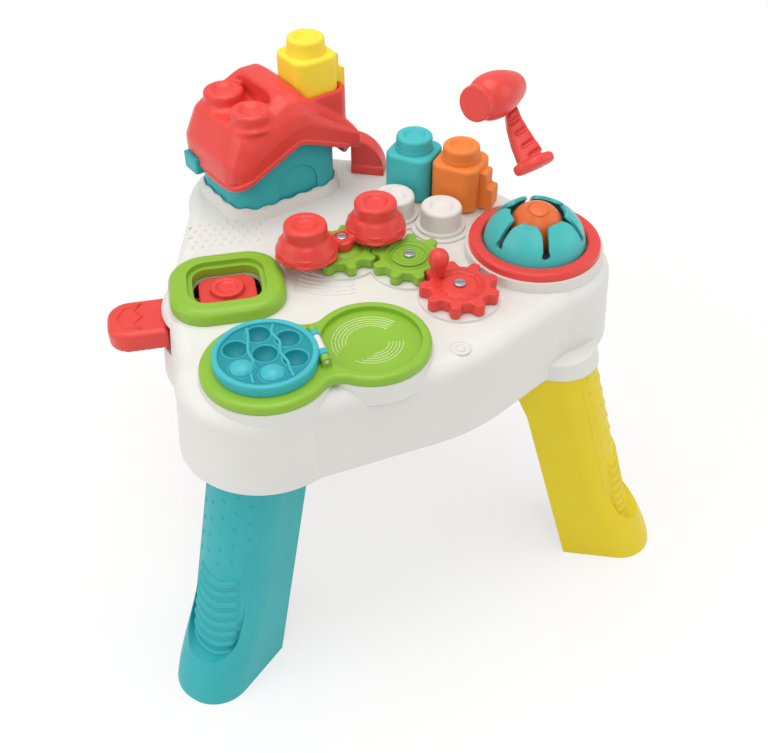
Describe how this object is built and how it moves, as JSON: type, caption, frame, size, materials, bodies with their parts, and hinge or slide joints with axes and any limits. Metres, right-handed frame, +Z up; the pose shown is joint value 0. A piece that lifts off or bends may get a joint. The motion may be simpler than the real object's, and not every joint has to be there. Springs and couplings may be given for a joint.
{
  "type": "toddler activity table",
  "caption": "Low activity table on splayed legs with stacking blocks, meshing gears and carousel, flip-over bubble disc, hinged-roof house, see-saw launcher, ball dome and hammer.",
  "frame": {"origin": "on the floor, under the middle of the overall box", "axes": "+X to the right of the picture, +Y away from the camera, +Z up"},
  "size_m": [0.486, 0.4774, 0.4689],
  "materials": {
    "white_plastic": "satin moulded plastic",
    "teal_plastic": "satin moulded plastic",
    "yellow_plastic": "satin moulded plastic",
    "red_plastic": "smooth moulded plastic",
    "soft_yellow": "soft-touch block",
    "soft_teal": "soft-touch block",
    "soft_orange": "soft-touch block",
    "green_plastic": "smooth moulded plastic",
    "popit_blue": "soft silicone sheet",
    "rim_blue": "smooth moulded plastic",
    "ball_orange": "smooth moulded plastic",
    "cup_grey": "moulded plastic",
    "screw_steel": "plain steel"
  },
  "bodies": {
    "table": {"table_top": "white_plastic", "table_underside": "white_plastic", "cover_screws": "screw_steel", "leg_front_left": "teal_plastic", "leg_right": "yellow_plastic", "leg_back": "red_plastic", "house_walls": "teal_plastic", "roof_hinge_pin": "screw_steel", "house_slide": "red_plastic", "launcher_frame": "green_plastic", "launcher_pivot_pin": "screw_steel", "flip_tray": "green_plastic", "flip_hinge_pin": "white_plastic", "gear_screws": "screw_steel", "dome_bezel": "red_plastic", "petal_dome": "teal_plastic", "ball_cup": "cup_grey"},
    "roof": {"house_roof": "red_plastic"},
    "yellow_block": {"block_yellow": "soft_yellow"},
    "teal_block": {"block_teal": "soft_teal"},
    "orange_block": {"block_orange": "soft_orange"},
    "lever": {"launcher_lever": "red_plastic"},
    "flip_disc": {"popit_rim": "rim_blue", "popit_sheet": "popit_blue"},
    "crank": {"crank_gear": "red_plastic", "crank_knob": "red_plastic"},
    "idler": {"idler_gear": "green_plastic"},
    "turntable": {"carousel_gear": "green_plastic", "carousel": "red_plastic"},
    "ball": {"dome_ball": "ball_orange"},
    "tool": {"hammer": "red_plastic"}
  },
  "joints": [
    {"name": "crank_spin", "type": "hinge", "parent": "table", "child": "crank", "pos_m": [0.03897, -0.05463, 0.3], "axis": [0, 0, 1], "continuous": true},
    {"name": "idler_spin", "type": "hinge", "parent": "table", "child": "idler", "pos_m": [-0.00005, -0.01308, 0.3], "axis": [0, 0, 1], "continuous": true},
    {"name": "carousel_spin", "type": "hinge", "parent": "table", "child": "turntable", "pos_m": [-0.05556, -0.00016, 0.3], "axis": [0, 0, 1], "continuous": true},
    {"name": "disc_flip", "type": "hinge", "parent": "table", "child": "flip_disc", "pos_m": [-0.06803, -0.13166, 0.3162], "axis": [-0.3256, 0.9455, 0], "range_deg": [0, 180]},
    {"name": "roof_open", "type": "hinge", "parent": "table", "child": "roof", "pos_m": [-0.07782, 0.14831, 0.335], "axis": [-0.5878, 0.809, 0], "range_deg": [0, 55]},
    {"name": "lever_tilt", "type": "hinge", "parent": "table", "child": "lever", "pos_m": [-0.179, -0.05475, 0.283], "axis": [0.2079, -0.9781, 0], "range_deg": [0, 8]},
    {"name": "ball_spin", "type": "hinge", "parent": "table", "child": "ball", "pos_m": [0.10465, 0.00732, 0.3246], "axis": [0, 0, 1], "continuous": true},
    {"name": "yellow_block_lift", "type": "slide", "parent": "roof", "child": "yellow_block", "axis": [0, 0, 1], "range_m": [0, 0.06]},
    {"name": "teal_block_lift", "type": "slide", "parent": "table", "child": "teal_block", "axis": [0, 0, 1], "range_m": [0, 0.06]},
    {"name": "orange_block_lift", "type": "slide", "parent": "table", "child": "orange_block", "axis": [0, 0, 1], "range_m": [0, 0.06]},
    {"name": "hammer_lift", "type": "slide", "parent": "table", "child": "tool", "axis": [0, 0, 1], "range_m": [0, 0.05]}
  ],
  "couplings": [
    {"joint": "idler_spin", "follows": "crank_spin", "ratio": -1},
    {"joint": "carousel_spin", "follows": "crank_spin", "ratio": 1}
  ]
}
